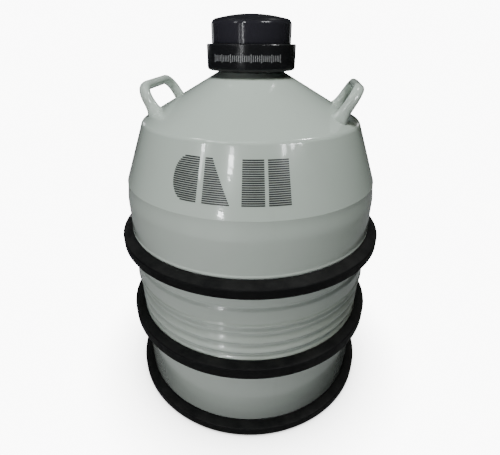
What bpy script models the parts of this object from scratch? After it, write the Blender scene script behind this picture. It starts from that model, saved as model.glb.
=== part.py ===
"""Liquid nitrogen dewar: a double-walled vacuum vessel of the 55 litre class, with its neck and canisters.

Run with: blender --background --python part.py
Sizes are in millimetres and are scaled to metres as each mesh is made. +Z is up, the floor is Z = 0 and the
axis of the vessel is the Z axis. The front faces -Y and the two carrying handles stand at -X and +X.
"""

import math

import bmesh
import bpy
from mathutils import Matrix, Vector

MM = 0.001
GAP = 0.35  # clearance left between pieces that touch or are bonded
FACETS_WIDE = 36  # segments round the outer vessel
FACETS_INNER = 32  # segments round the inner vessel and its wrapping
FACETS_NECK = 24  # segments round the neck, collar and cap
FACETS_SMALL = 16

# Outer vessel
BODY_R = 230.0
OUTER_WALL = 2.5
BASE_Z = 4.5
WALL_BORE_R = BODY_R - OUTER_WALL - 3.0  # clear of the deepest groove
BELT_R, BELT_Z = 226.5, 443.0
KNUCKLE_R, KNUCKLE_Z = 189.5, 541.0
CONE_TOP_R, CONE_TOP_Z = 47.0, 620.0
KNUCKLE_FILLET = 12.0
# The rolled part of the side wall as (height, how far it stands out of the plain wall)
BAND = ((298, 0.0), (292.5, -0.8), (285, 1.8), (272, 1.2), (264, 1.5), (256, 2.8))
BEADS = (
    (248, -3.4),
    (241, -1.0),
    (232, -3.9),
    (219.5, 0.0),
    (210, -3.7),
    (199, -0.1),
    (190, -3.1),
    (183, 0.0),
)
BASE_WALL = 3.0
BASE_FLANGE_Z = 44.0
BASE_RIM_W = 22.0  # width of the rim under the base, and of the slope inside it

# Bumper rings
BUMPER_R = 249.5
BUMPER_LIP_R = 208.0
# name: underside height, height at the wall, fall of the top face, lower chamfer
BUMPERS = {
    "bumper_ring_upper": (323.0, 26.5, 7.0, 3.5),
    "bumper_ring_middle": (154.5, 27.5, 2.5, 3.5),
    "bumper_ring_lower": (0.0, 23.5, 2.0, 5.0),
}

# Inner vessel
INNER_R = 197.0
INNER_WALL = 2.0
INNER_BASE_Z = 46.0
INNER_SEAM_Z = 440.0
INNER_SHOULDER_Z = 462.0
INNER_TOP_Z = 516.0
INNER_CORNER = 34.0
WRAP_GAP = 1.5
WRAP_T = 13.0
BLANKET_BORE_R = 104.0
TRAY_R, TRAY_BORE_R, TRAY_H = 96.0, 58.0, 16.0

# Neck
NECK_BORE_R = 32.0
NECK_WALL = 2.5
NECK_TOP_Z = 638.0
LIP_TOP_Z = 625.0
FLANGE_R = 49.5
COLLAR_R = 73.4
COLLAR_Z = 618.2
COLLAR_TOP_Z = 657.0
COLLAR_STEM_R = 57.0
INDEX_R = 61.0
INDEX_TOP_Z = 652.0
INDEX_H = 9.0
GROOVE_DEPTH = 2.6

# Cap and plug
CAP_R = 65.0
CAP_WALL = 3.0
CAP_TOP_Z = 699.5
CAP_EDGE_Z = 690.5
CAP_CROWN = (0.0, 0.36, 0.7)  # shares of the cap's radius at which its crown is shaped
CAP_FILLET = 13.0
PLUG_R = 25.0
PLUG_BOTTOM_Z = 545.0

# Handles
HANDLE_AXIS_R = 155.0
HANDLE_LEAN = math.radians(30)
HANDLE_FOOT_HALF = 68.0
HANDLE_TOP_HALF = 65.0
HANDLE_RISE = 42.0
HANDLE_CORNER = 26.0
HANDLE_BAR_R = 7.5

# Canisters
CANISTERS = 6
CANISTER_R = 21.0
CANISTER_CIRCLE_R = 52.0
CANISTER_Z = 60.0
CANISTER_H = 276.0
CANISTER_WALL = 0.8
ROD_R = 1.5
ROD_CIRCLE_R = 29.2
HOOK_END_R = 57.0

# Vacuum port, on the axis under the base
PORT_R = 13.0
PORT_BORE_R = 7.0
PORT_FOOT_Z = 15.0
PORT_FLANGE_W = 4.0
PLUG_HEAD_H = 3.0
COVER_H = 2.4
RECESS_Z = 27.0


def clear_scene():
    for old in list(bpy.data.objects):
        bpy.data.objects.remove(old)


def new_collection(name):
    collection = bpy.data.collections.new(name)
    bpy.context.scene.collection.children.link(collection)
    return collection


clear_scene()
DEWAR = new_collection("liquid_nitrogen_dewar")
CUTTERS = new_collection("cutters")


def make_material(name, colour, roughness, metallic=0.0):
    material = bpy.data.materials.new(name)
    material.use_nodes = True
    shader = material.node_tree.nodes["Principled BSDF"]
    shader.inputs["Base Color"].default_value = (*colour, 1)
    shader.inputs["Roughness"].default_value = roughness
    shader.inputs["Metallic"].default_value = metallic
    return material


GREY_PAINT = make_material("grey_paint", (0.56, 0.61, 0.58), 0.22)
BARE_ALUMINIUM = make_material("bare_aluminium", (0.75, 0.76, 0.77), 0.38, 1.0)
STEEL = make_material("stainless_steel", (0.62, 0.62, 0.61), 0.25, 1.0)
BLACK_RUBBER = make_material("black_rubber", (0.015, 0.015, 0.017), 0.6)
BLACK_PLASTIC = make_material("black_plastic", (0.012, 0.012, 0.016), 0.12)
RED_PLASTIC = make_material("red_plastic", (0.5, 0.05, 0.04), 0.35)
NECK_FIBRE = make_material("glass_fibre", (0.62, 0.58, 0.36), 0.4)
FOAM = make_material("white_foam", (0.85, 0.84, 0.8), 0.85)
FOIL = make_material("foil_wrap", (0.82, 0.82, 0.84), 0.3, 0.9)


def link(obj, material=None, collection=DEWAR):
    collection.objects.link(obj)
    if material:
        obj.data.materials.append(material)
    return obj


def shade(mesh, angle=35):
    mesh.shade_smooth()
    mesh.set_sharp_from_angle(angle=math.radians(angle))


def rounded(points, closed=False):
    """Turns (r, z) corners into an outline; a corner given as (r, z, radius, steps) becomes an arc."""
    outline = []
    count = len(points)
    for i, point in enumerate(points):
        here = Vector(point[:2])
        if len(point) == 2 or (not closed and i in (0, count - 1)):
            outline.append(here)
            continue
        radius, steps = point[2:]
        back = (Vector(points[i - 1][:2]) - here).normalized()
        ahead = (Vector(points[(i + 1) % count][:2]) - here).normalized()
        half = back.angle(ahead) / 2
        centre = here + (back + ahead).normalized() * radius / math.sin(half)
        first = here + back * radius / math.tan(half) - centre
        last = here + ahead * radius / math.tan(half) - centre
        sweep = first.angle_signed(last)
        for step in range(steps + 1):
            turn = Matrix.Rotation(-sweep * step / steps, 2)
            outline.append(centre + turn @ first)
    return outline


def turned(name, points, material, facets, closed=True, wall=0.0, collection=DEWAR):
    """A body of revolution about Z. The outline runs down its outer side.

    A closed outline is the whole cross-section. An open one is the outer surface: with a wall it becomes a
    shell that thick, and without one its ends lie on the axis.
    """
    outline = [(p.x * MM, 0, p.y * MM) for p in rounded(points, closed)]
    count = len(outline)
    edges = [(i, (i + 1) % count) for i in range(count if closed else count - 1)]
    mesh = bpy.data.meshes.new(name)
    mesh.from_pydata(outline, edges, [])
    obj = link(bpy.data.objects.new(name, mesh), material, collection)
    screw = obj.modifiers.new("turn", "SCREW")
    screw.steps = facets
    screw.render_steps = facets
    screw.use_merge_vertices = True
    screw.merge_threshold = 0.00001
    screw.use_smooth_shade = True
    if wall:
        solid = obj.modifiers.new("wall", "SOLIDIFY")
        solid.thickness = wall * MM
        solid.offset = -1
        solid.use_even_offset = True
    return obj


def as_mesh(obj):
    """Replaces a curve, or an object with modifiers, by its evaluated mesh with the seams welded."""
    graph = bpy.context.evaluated_depsgraph_get()
    mesh = bpy.data.meshes.new_from_object(obj.evaluated_get(graph), depsgraph=graph)
    shape = bmesh.new()
    shape.from_mesh(mesh)
    bmesh.ops.remove_doubles(shape, verts=shape.verts, dist=0.00001)
    bmesh.ops.recalc_face_normals(shape, faces=shape.faces)
    shape.to_mesh(mesh)
    shape.free()
    name = obj.name
    collection = obj.users_collection[0]
    place = obj.matrix_world.copy()
    bpy.data.objects.remove(obj)
    made = bpy.data.objects.new(name, mesh)
    mesh.name = name
    made.matrix_world = place
    collection.objects.link(made)
    return made


def placed(name, shape, centre, spin, material, collection):
    """Makes an object of a bmesh, moved to its centre and turned about the vertical."""
    mesh = bpy.data.meshes.new(name)
    shape.to_mesh(mesh)
    shape.free()
    obj = link(bpy.data.objects.new(name, mesh), material, collection)
    obj.location = Vector(centre) * MM
    obj.rotation_euler.z = spin
    return obj


def cylinder_cutter(name, radius, length, centre):
    shape = bmesh.new()
    bmesh.ops.create_cone(
        shape,
        cap_ends=True,
        segments=FACETS_NECK,
        radius1=radius * MM,
        radius2=radius * MM,
        depth=length * MM,
    )
    return placed(name, shape, centre, 0.0, None, CUTTERS)


def block(name, size, centre, spin, material=None, collection=DEWAR):
    shape = bmesh.new()
    bmesh.ops.create_cube(shape, size=MM)
    bmesh.ops.scale(shape, vec=size, verts=shape.verts)
    return placed(name, shape, centre, spin, material, collection)


def bar(name, points, radius, material, round_steps=1):
    """A round bar along straight stretches between points, with flat ends."""
    curve = bpy.data.curves.new(name, "CURVE")
    curve.dimensions = "3D"
    spline = curve.splines.new("POLY")
    spline.points.add(len(points) - 1)
    for slot, point in zip(spline.points, points):
        slot.co = (*(Vector(point) * MM), 1)
    curve.bevel_depth = radius * MM
    curve.bevel_resolution = round_steps
    curve.use_fill_caps = True
    made = as_mesh(link(bpy.data.objects.new(name, curve)))
    made.data.materials.clear()
    made.data.materials.append(material)
    shade(made.data, 50)
    return made


def cut(obj, cutter):
    modifier = obj.modifiers.new("cut_" + cutter.name, "BOOLEAN")
    modifier.operation = "DIFFERENCE"
    modifier.object = cutter
    cutter.hide_render = True
    cutter.display_type = "WIRE"


def polar(radius, angle, z):
    return Vector((radius * math.cos(angle), radius * math.sin(angle), z))


def cone_height(radius):
    """Height of the outer surface of the shoulder cone at this distance from the axis."""
    share = (radius - CONE_TOP_R) / (KNUCKLE_R - CONE_TOP_R)
    return CONE_TOP_Z + (KNUCKLE_Z - CONE_TOP_Z) * share


# ---------------------------------------------------------------- outer vessel


def outer_shoulder():
    """The spun top: neck lip, cone, rounded knuckle and the skirt that widens to the belt."""
    turned(
        "outer_shoulder",
        [
            (CONE_TOP_R, LIP_TOP_Z),
            (CONE_TOP_R, CONE_TOP_Z, 4, 1),
            (KNUCKLE_R, KNUCKLE_Z, KNUCKLE_FILLET, 3),
            (BELT_R, BELT_Z + GAP),
        ],
        GREY_PAINT,
        FACETS_WIDE,
        closed=False,
        wall=OUTER_WALL,
    )


def outer_cylinder():
    """The side wall, drawn in a little at the belt, with a raised band and rolled beads below it."""
    outline = [
        (BELT_R, BELT_Z),
        (BODY_R - 0.8, BELT_Z - 18),
        (BODY_R, BELT_Z - 38),
    ]
    for z, proud in BAND + BEADS:
        outline.append((BODY_R + proud, z))
    outline += [
        (BODY_R, BASE_Z),
        (WALL_BORE_R, BASE_Z),
        (WALL_BORE_R, BELT_Z - 30),
        (BELT_R - OUTER_WALL, BELT_Z - 1.2),
    ]
    turned("outer_cylinder", outline, GREY_PAINT, FACETS_WIDE)


def outer_base():
    """The dished bottom: a flange inside the side wall, a rim and a raised centre that holds the port."""
    outer = WALL_BORE_R - GAP
    rim = 8
    outline = [
        (outer, BASE_FLANGE_Z),
        (outer, BASE_Z, rim, 1),
        (outer - BASE_RIM_W, BASE_Z, rim, 1),
        (outer - 2 * BASE_RIM_W, RECESS_Z),
        (PORT_R + GAP, RECESS_Z),
        (PORT_R + GAP, RECESS_Z + BASE_WALL),
        (outer - 2 * BASE_RIM_W + 2, RECESS_Z + BASE_WALL),
        (outer - BASE_RIM_W + 1.5, BASE_Z + BASE_WALL),
        (outer - BASE_WALL - 2, BASE_Z + BASE_WALL),
        (outer - BASE_WALL, BASE_Z + BASE_WALL + 3),
        (outer - BASE_WALL, BASE_FLANGE_Z),
    ]
    turned("outer_base", outline, GREY_PAINT, FACETS_WIDE)


def bumper(name):
    """A rubber hoop round the side wall; its top face falls outwards and its lower edge is chamfered."""
    z, height, drop, chamfer = BUMPERS[name]
    inner = BODY_R + GAP
    outline = [
        (inner, z + height),
        (BUMPER_R, z + height - drop, 2, 1),
        (BUMPER_R, z + chamfer),
        (BUMPER_R - chamfer, z),
    ]
    if z > 0:
        outline += [(inner, z)]
    else:
        # The lowest hoop is an L in section, with a lip the vessel stands on.
        outline += [(BUMPER_LIP_R, z), (BUMPER_LIP_R, BASE_Z - GAP), (inner, BASE_Z - GAP)]
    turned(name, outline, BLACK_RUBBER, FACETS_WIDE)


def handle(name, side):
    """A bent bar standing on the cone: two legs, two rounded corners and a grip, leaning outwards."""
    foot_z = cone_height(math.hypot(HANDLE_AXIS_R, HANDLE_FOOT_HALF))
    crown_z = cone_height(HANDLE_AXIS_R)
    outward = math.sin(HANDLE_LEAN)
    upward = math.cos(HANDLE_LEAN)

    def at(along, rise):
        """A point in the handle's leaning plane; rise is measured from the cone on the handle's own axis."""
        radial = HANDLE_AXIS_R + outward * rise
        return Vector((side * radial, side * along, crown_z + upward * rise))

    foot_rise = (foot_z - crown_z) / upward + HANDLE_BAR_R * 0.45
    half = [at(HANDLE_FOOT_HALF, foot_rise)]
    corner_steps = 5
    for step in range(corner_steps + 1):
        turn = math.radians(90) * step / corner_steps
        along = HANDLE_TOP_HALF - HANDLE_CORNER * (1 - math.cos(turn))
        half.append(at(along, HANDLE_RISE - HANDLE_CORNER * (1 - math.sin(turn))))
    mirrored = []
    for point in reversed(half):
        mirrored.append(Vector((point.x, -point.y, point.z)))
    grip = bar(name, half + mirrored, HANDLE_BAR_R, GREY_PAINT, round_steps=2)
    # The feet are trimmed to the cone, leaving a weld gap above it.
    below = turned(
        name + "_foot_cut",
        [
            (0, CONE_TOP_Z + 20),
            (CONE_TOP_R, CONE_TOP_Z + GAP + 0.2),
            (KNUCKLE_R, KNUCKLE_Z + GAP + 0.2),
            (KNUCKLE_R + 10, KNUCKLE_Z - 60),
            (0, KNUCKLE_Z - 60),
        ],
        None,
        FACETS_WIDE,
        closed=False,
        collection=CUTTERS,
    )
    cut(grip, below)


# ---------------------------------------------------------------- inner vessel


def inner_vessel():
    turned(
        "inner_vessel_body",
        [
            (INNER_R, INNER_SEAM_Z),
            (INNER_R, INNER_BASE_Z, INNER_CORNER, 3),
            (0, INNER_BASE_Z),
        ],
        BARE_ALUMINIUM,
        FACETS_INNER,
        closed=False,
        wall=INNER_WALL,
    )
    turned(
        "inner_vessel_top",
        [
            (45, INNER_TOP_Z),
            (120, INNER_TOP_Z - 16),
            (INNER_R - 5, INNER_SHOULDER_Z + 10, 16, 1),
            (INNER_R, INNER_SEAM_Z + GAP),
        ],
        BARE_ALUMINIUM,
        FACETS_INNER,
        closed=False,
        wall=INNER_WALL,
    )


def insulation():
    """The layered foil wrap: one side wrap, one top and one bottom pad."""
    wrap_in = INNER_R + WRAP_GAP
    wrap_out = wrap_in + WRAP_T
    turned(
        "insulation_wrap",
        [
            (wrap_out, INNER_SEAM_Z - 4),
            (wrap_out, INNER_BASE_Z - 2),
            (wrap_in, INNER_BASE_Z - 2),
            (wrap_in, INNER_SEAM_Z - 4),
        ],
        FOIL,
        FACETS_INNER,
    )
    turned(
        "insulation_top",
        [
            (BLANKET_BORE_R, INNER_TOP_Z + 5),
            (INNER_R - 10, INNER_SHOULDER_Z + 33),
            (INNER_R + WRAP_T, INNER_SHOULDER_Z + 4),
            (INNER_R + WRAP_T, INNER_SEAM_Z - 3),
            (wrap_in, INNER_SEAM_Z - 3),
            (wrap_in, INNER_SHOULDER_Z),
            (INNER_R - 9, INNER_SHOULDER_Z + 19),
            (BLANKET_BORE_R, INNER_TOP_Z - 8),
        ],
        FOIL,
        FACETS_INNER,
    )
    pad_bottom = RECESS_Z + BASE_WALL + 1.5
    turned(
        "insulation_base",
        [
            (178, INNER_BASE_Z - 2),
            (174, pad_bottom),
            (PORT_R + 6, pad_bottom),
            (PORT_R + 6, INNER_BASE_Z - 2),
        ],
        FOIL,
        FACETS_INNER,
    )


def adsorbent_tray():
    """A ring-shaped tray of molecular sieve that sits on the cold top head, inside the vacuum space."""
    turned(
        "adsorbent_tray",
        [
            (TRAY_R, INNER_TOP_Z + TRAY_H),
            (TRAY_R, INNER_TOP_Z - 8),
            (TRAY_BORE_R, INNER_TOP_Z + 0.5),
            (TRAY_BORE_R, INNER_TOP_Z + TRAY_H),
        ],
        BARE_ALUMINIUM,
        FACETS_NECK,
    )


def canister_locator():
    """A plate on the vessel floor with a low tower whose scallops keep the canisters apart."""
    plate_z = INNER_BASE_Z + INNER_WALL + GAP
    plate_r, plate_top = 84, plate_z + 3
    tower_r, tower_top = 44, plate_z + 42
    scallop_length = 80
    hub = turned(
        "canister_locator",
        [
            (0, tower_top),
            (tower_r, tower_top),
            (tower_r, plate_top),
            (plate_r, plate_top),
            (plate_r, plate_z),
            (0, plate_z),
        ],
        BARE_ALUMINIUM,
        FACETS_INNER,
        closed=False,
    )
    for index in range(CANISTERS):
        angle = canister_angle(index)
        centre = polar(CANISTER_CIRCLE_R, angle, CANISTER_Z - 2 + scallop_length / 2)
        scallop = cylinder_cutter(f"scallop_{index + 1}", CANISTER_R + 1.2, scallop_length, centre)
        cut(hub, scallop)


# ---------------------------------------------------------------- neck


def neck():
    tube_out = NECK_BORE_R + NECK_WALL
    turned(
        "neck_tube",
        [
            (tube_out, NECK_TOP_Z),
            (tube_out, INNER_TOP_Z),
            (NECK_BORE_R, INNER_TOP_Z),
            (NECK_BORE_R, NECK_TOP_Z),
        ],
        NECK_FIBRE,
        FACETS_NECK,
    )
    turned(
        "inner_neck_collar",
        [
            (42, INNER_TOP_Z + 24),
            (42, INNER_TOP_Z + 4),
            (44, INNER_TOP_Z + 1),
            (44, INNER_TOP_Z - 7),
            (NECK_BORE_R, INNER_TOP_Z - 7),
            (NECK_BORE_R, INNER_TOP_Z - GAP),
            (tube_out + GAP, INNER_TOP_Z - GAP),
            (tube_out + GAP, INNER_TOP_Z + 24),
        ],
        BARE_ALUMINIUM,
        FACETS_NECK,
    )
    lip_bore = CONE_TOP_R - OUTER_WALL
    turned(
        "neck_flange",
        [
            (FLANGE_R, NECK_TOP_Z),
            (FLANGE_R, LIP_TOP_Z + GAP),
            (lip_bore - 1, LIP_TOP_Z + GAP),
            (lip_bore - 1, LIP_TOP_Z - 20),
            (tube_out + GAP, LIP_TOP_Z - 20),
            (tube_out + GAP, NECK_TOP_Z),
        ],
        BARE_ALUMINIUM,
        FACETS_NECK,
    )


def collar_ring():
    """The moulded collar: a stem down to the cone, a wide band, and a seat for the index ring."""
    stem_foot = cone_height(COLLAR_STEM_R) + 0.8
    bore_foot = cone_height(FLANGE_R) + 2.4  # clear of the fillet between the cone and its neck lip
    seat_z = INDEX_TOP_Z - INDEX_H - GAP
    turned(
        "collar_ring",
        [
            (INDEX_R + GAP, COLLAR_TOP_Z),
            (COLLAR_R, COLLAR_TOP_Z, 1.5, 1),
            (COLLAR_R, COLLAR_Z, 4, 2),
            (COLLAR_STEM_R, COLLAR_Z),
            (COLLAR_STEM_R, stem_foot),
            (FLANGE_R + GAP, bore_foot),
            (FLANGE_R + GAP, NECK_TOP_Z + GAP),
            (NECK_BORE_R + 0.5, NECK_TOP_Z + GAP),
            (NECK_BORE_R + 0.5, seat_z),
            (INDEX_R + GAP, seat_z),
        ],
        BLACK_PLASTIC,
        FACETS_NECK,
    )


def index_ring():
    """The ring that the canister hooks hang on, with a radial groove for each hook."""
    inner = NECK_BORE_R + 0.5
    ring = turned(
        "index_ring",
        [
            (INDEX_R, INDEX_TOP_Z),
            (INDEX_R, INDEX_TOP_Z - INDEX_H),
            (inner, INDEX_TOP_Z - INDEX_H),
            (inner, INDEX_TOP_Z),
        ],
        BARE_ALUMINIUM,
        FACETS_NECK,
    )
    groove_width = 2 * ROD_R + 1.6
    for index in range(CANISTERS):
        angle = canister_angle(index)
        middle = polar((inner + INDEX_R) / 2, angle, INDEX_TOP_Z)
        size = (INDEX_R - inner + 12, groove_width, 2 * GROOVE_DEPTH)
        groove = block(f"groove_{index + 1}", size, middle, angle, collection=CUTTERS)
        cut(ring, groove)


# ---------------------------------------------------------------- canisters


def canister_angle(index):
    """Canisters are spaced evenly, with none straight ahead of the front."""
    return math.tau * (index + 0.5) / CANISTERS


def canister(index):
    """A perforated cup, its rod with a hook at the top, and the grip on the hook."""
    number = index + 1
    angle = canister_angle(index)
    axis = polar(CANISTER_CIRCLE_R, angle, 0) * MM
    cup = turned(
        f"canister_{number}",
        [
            (CANISTER_R, CANISTER_Z + CANISTER_H),
            (CANISTER_R, CANISTER_Z),
            (2, CANISTER_Z),
        ],
        STEEL,
        FACETS_SMALL,
        closed=False,
        wall=CANISTER_WALL,
    )
    cup.location = axis
    hook_z = INDEX_TOP_Z - GROOVE_DEPTH + ROD_R + GAP
    rod_foot = CANISTER_Z + CANISTER_H - 60
    bar(
        f"canister_rod_{number}",
        [
            polar(ROD_CIRCLE_R, angle, rod_foot),
            polar(ROD_CIRCLE_R, angle, hook_z - 4),
            polar(ROD_CIRCLE_R + 1.2, angle, hook_z - 1.2),
            polar(ROD_CIRCLE_R + 4, angle, hook_z),
            polar(HOOK_END_R, angle, hook_z),
        ],
        ROD_R,
        STEEL,
    )
    grip_length, grip_width, grip_height = 14, 9, 4
    grip_z = hook_z + ROD_R + GAP + grip_height / 2
    grip = block(
        f"canister_grip_{number}",
        (grip_length, grip_width, grip_height),
        polar(HOOK_END_R - grip_length / 2, angle, grip_z),
        angle,
        RED_PLASTIC,
    )
    edge = grip.modifiers.new("edge", "BEVEL")
    edge.width = 1.2 * MM
    edge.segments = 1


# ---------------------------------------------------------------- cap


def crown_height(share):
    """Height of the domed top of the cap at this share of its radius."""
    return CAP_TOP_Z - (CAP_TOP_Z - CAP_EDGE_Z) * share**2


def cap():
    """The hollow cap that covers the hooks, and the foam plug bonded inside it."""
    turned(
        "cap_shell",
        [
            *((CAP_R * share, crown_height(share)) for share in CAP_CROWN),
            (CAP_R, CAP_EDGE_Z, CAP_FILLET, 3),
            (CAP_R, COLLAR_TOP_Z + GAP),
        ],
        BLACK_PLASTIC,
        FACETS_NECK,
        closed=False,
        wall=CAP_WALL,
    )
    plug_top = crown_height(PLUG_R / CAP_R) - CAP_WALL - 2 * GAP
    turned(
        "neck_plug",
        [
            (0, plug_top),
            (PLUG_R, plug_top),
            (PLUG_R, PLUG_BOTTOM_Z, 3, 1),
            (0, PLUG_BOTTOM_Z),
        ],
        FOAM,
        FACETS_NECK,
        closed=False,
    )


# ---------------------------------------------------------------- vacuum port


def vacuum_port():
    """The evacuation tube in the middle of the base, its plug with a seal ring, and the pushed-on cover."""
    foot_z = PORT_FOOT_Z
    seat_z = RECESS_Z + BASE_WALL + GAP
    flange_r = PORT_R + PORT_FLANGE_W
    turned(
        "vacuum_port",
        [
            (flange_r, seat_z + 2),
            (flange_r, seat_z),
            (PORT_R, seat_z),
            (PORT_R, foot_z),
            (PORT_BORE_R, foot_z),
            (PORT_BORE_R, seat_z + 2),
        ],
        BARE_ALUMINIUM,
        FACETS_SMALL,
    )
    groove_z = foot_z + 8
    plug_r = PORT_BORE_R - 0.4
    groove_r = plug_r - 2
    half_groove = 1.4
    head_r = PORT_BORE_R + 3
    turned(
        "vacuum_plug",
        [
            (0, foot_z + 14),
            (plug_r, foot_z + 14),
            (plug_r, groove_z + half_groove),
            (groove_r, groove_z + half_groove),
            (groove_r, groove_z - half_groove),
            (plug_r, groove_z - half_groove),
            (plug_r, foot_z - GAP),
            (head_r, foot_z - GAP),
            (head_r, foot_z - PLUG_HEAD_H),
            (0, foot_z - PLUG_HEAD_H),
        ],
        BARE_ALUMINIUM,
        FACETS_SMALL,
        closed=False,
    )
    half_seal = 0.9
    turned(
        "vacuum_plug_seal",
        [
            (PORT_BORE_R - GAP, groove_z + half_seal),
            (PORT_BORE_R - GAP, groove_z - half_seal),
            (PORT_BORE_R - 2, groove_z - half_seal),
            (PORT_BORE_R - 2, groove_z + half_seal),
        ],
        BLACK_RUBBER,
        FACETS_SMALL,
    )
    cover_bore = PORT_R + GAP
    cover_z = foot_z - PLUG_HEAD_H - 0.6
    turned(
        "vacuum_port_cover",
        [
            (0, cover_z),
            (cover_bore, cover_z),
            (cover_bore, RECESS_Z - GAP),
            (flange_r, RECESS_Z - GAP),
            (flange_r, cover_z - COVER_H),
            (0, cover_z - COVER_H),
        ],
        BLACK_PLASTIC,
        FACETS_SMALL,
        closed=False,
    )


def smooth_turned_parts():
    for obj in DEWAR.objects:
        if obj.type == "MESH" and len(obj.data.polygons):
            shade(obj.data)


outer_shoulder()
outer_cylinder()
outer_base()
for each in BUMPERS:
    bumper(each)
handle("handle_left", -1)
handle("handle_right", 1)
inner_vessel()
insulation()
adsorbent_tray()
canister_locator()
neck()
collar_ring()
index_ring()
for each in range(CANISTERS):
    canister(each)
cap()
vacuum_port()
smooth_turned_parts()
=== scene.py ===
"""Looks of the liquid nitrogen dewar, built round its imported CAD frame.

Most turned pieces take their outline from the CAD nodes, so they keep the CAD sizes; what is added here is fine
geometry, materials, printing, light and the camera. Sizes are in millimetres, and only those of the lights, the
floor and the camera are in metres.
"""

import math

import bmesh
import bpy
from mathutils import Matrix, Vector

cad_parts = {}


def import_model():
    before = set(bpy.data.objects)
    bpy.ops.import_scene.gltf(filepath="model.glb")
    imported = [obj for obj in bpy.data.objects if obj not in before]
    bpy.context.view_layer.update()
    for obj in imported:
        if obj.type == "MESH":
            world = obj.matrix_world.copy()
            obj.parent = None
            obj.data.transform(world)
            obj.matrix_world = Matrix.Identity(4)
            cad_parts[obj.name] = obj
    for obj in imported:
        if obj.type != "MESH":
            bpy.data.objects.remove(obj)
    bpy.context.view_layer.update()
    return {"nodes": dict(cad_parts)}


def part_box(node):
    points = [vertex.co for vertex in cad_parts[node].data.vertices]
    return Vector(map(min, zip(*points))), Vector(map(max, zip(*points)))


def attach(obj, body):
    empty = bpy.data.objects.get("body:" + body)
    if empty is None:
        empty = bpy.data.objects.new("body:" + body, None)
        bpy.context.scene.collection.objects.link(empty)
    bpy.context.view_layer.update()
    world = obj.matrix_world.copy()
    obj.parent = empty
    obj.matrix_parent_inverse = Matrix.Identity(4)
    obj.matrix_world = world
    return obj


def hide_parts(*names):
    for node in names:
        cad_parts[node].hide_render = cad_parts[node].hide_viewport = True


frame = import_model()

MM = 0.001
NODES = frame["nodes"]
SKIN = 192  # segments round the outer skin
FINE = 96  # segments round smaller turned pieces
CUP_FACETS = 48  # segments round a canister
SMOOTH_ANGLE = 40  # degrees; edges that turn more than this stay sharp
ON_AXIS = 1e-3  # outline points nearer to the axis than this are poles
LEAST_HALF, MOST_HALF = math.radians(3), math.radians(87)  # half angles of the corners that can be rounded
EDGE_SHARE = 0.45  # how much of an edge one rounded corner may take


# ---------------------------------------------------------------- outlines


def arc(before, corner, after, radius, steps):
    """The points of an arc that rounds one corner; the radius shrinks where an edge is too short for it."""
    back = before - corner
    ahead = after - corner
    if back.length < 1e-6 or ahead.length < 1e-6:
        return [corner]
    half = back.angle(ahead) / 2
    if half > MOST_HALF or half < LEAST_HALF:
        return [corner]
    reach = min(radius / math.tan(half), EDGE_SHARE * back.length, EDGE_SHARE * ahead.length)
    radius = reach * math.tan(half)
    back.normalize()
    ahead.normalize()
    centre = corner + (back + ahead).normalized() * radius / math.sin(half)
    first = corner + back * reach - centre
    last = corner + ahead * reach - centre
    sweep = first.angle_signed(last)
    return [centre + Matrix.Rotation(-sweep * i / steps, 2) @ first for i in range(steps + 1)]


def rounded(points, closed=False, radius=0.0, steps=3):
    """Turns (r, z) corners into an outline. A corner may carry its own (r, z, radius, steps)."""
    outline = []
    count = len(points)
    for i, point in enumerate(points):
        corner = Vector(point[:2])
        own_radius, own_steps = (radius, steps) if len(point) == 2 else point[2:]
        if own_radius == 0 or (not closed and i in (0, count - 1)):
            outline.append(corner)
            continue
        before = Vector(points[i - 1][:2])
        after = Vector(points[(i + 1) % count][:2])
        outline += arc(before, corner, after, own_radius, own_steps)
    return outline


def flowing(points, steps):
    """A smooth outline through (r, z) turning points, level at each of them, for beads and grooves."""
    outline = [Vector(points[0])]
    for start, end in zip(points, points[1:]):
        for i in range(1, steps + 1):
            t = i / steps
            ease = t * t * (3 - 2 * t)
            r = start[0] + (end[0] - start[0]) * ease
            z = start[1] + (end[1] - start[1]) * t
            outline.append(Vector((r, z)))
    return outline


def walled(outline, wall):
    """Closes an open outer outline into the section of a wall of even thickness on its inner side."""
    inner = []
    last = len(outline) - 1
    for i, point in enumerate(outline):
        along = outline[min(i + 1, last)] - outline[max(i - 1, 0)]
        normal = Vector((along.y, -along.x)).normalized()
        inner.append(point + normal * wall)
    return outline + inner[::-1]


def node_outline(node, centre=(0.0, 0.0)):
    """The (r, z) outline of a turned CAD node, read where its mesh crosses the plane through its axis."""
    shape = bmesh.new()
    shape.from_mesh(NODES[node].data)
    bmesh.ops.translate(shape, verts=shape.verts, vec=(-centre[0], -centre[1], 0))
    bmesh.ops.remove_doubles(shape, verts=shape.verts, dist=1e-6)
    for normal, clear in (((1, 0, 0), True), ((0, 1, 0), False)):  # halve it, then cut the half across
        geometry = shape.verts[:] + shape.edges[:] + shape.faces[:]
        cut = bmesh.ops.bisect_plane(
            shape, geom=geometry, dist=1e-6, plane_co=(0, 0, 0), plane_no=normal, clear_inner=clear
        )
    edges = [item for item in cut["geom_cut"] if isinstance(item, bmesh.types.BMEdge)]
    links = {}
    for edge in edges:
        a, b = edge.verts
        if max(a.co.x, b.co.x) > 1e-5:
            links.setdefault(a, []).append(b)
            links.setdefault(b, []).append(a)
    ends = [vert for vert, others in links.items() if len(others) == 1]
    here = max(ends or links, key=lambda vert: (vert.co.z, vert.co.x))
    path = [here]
    before = None
    while True:
        onward = [vert for vert in links[here] if vert not in (before, path[0])]
        if not onward:
            break
        before, here = here, onward[0]
        path.append(here)
    outline = [Vector((vert.co.x / MM, vert.co.z / MM)) for vert in path]
    shape.free()
    closed = not ends
    return without_straight_points(outline, closed), closed


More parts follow.
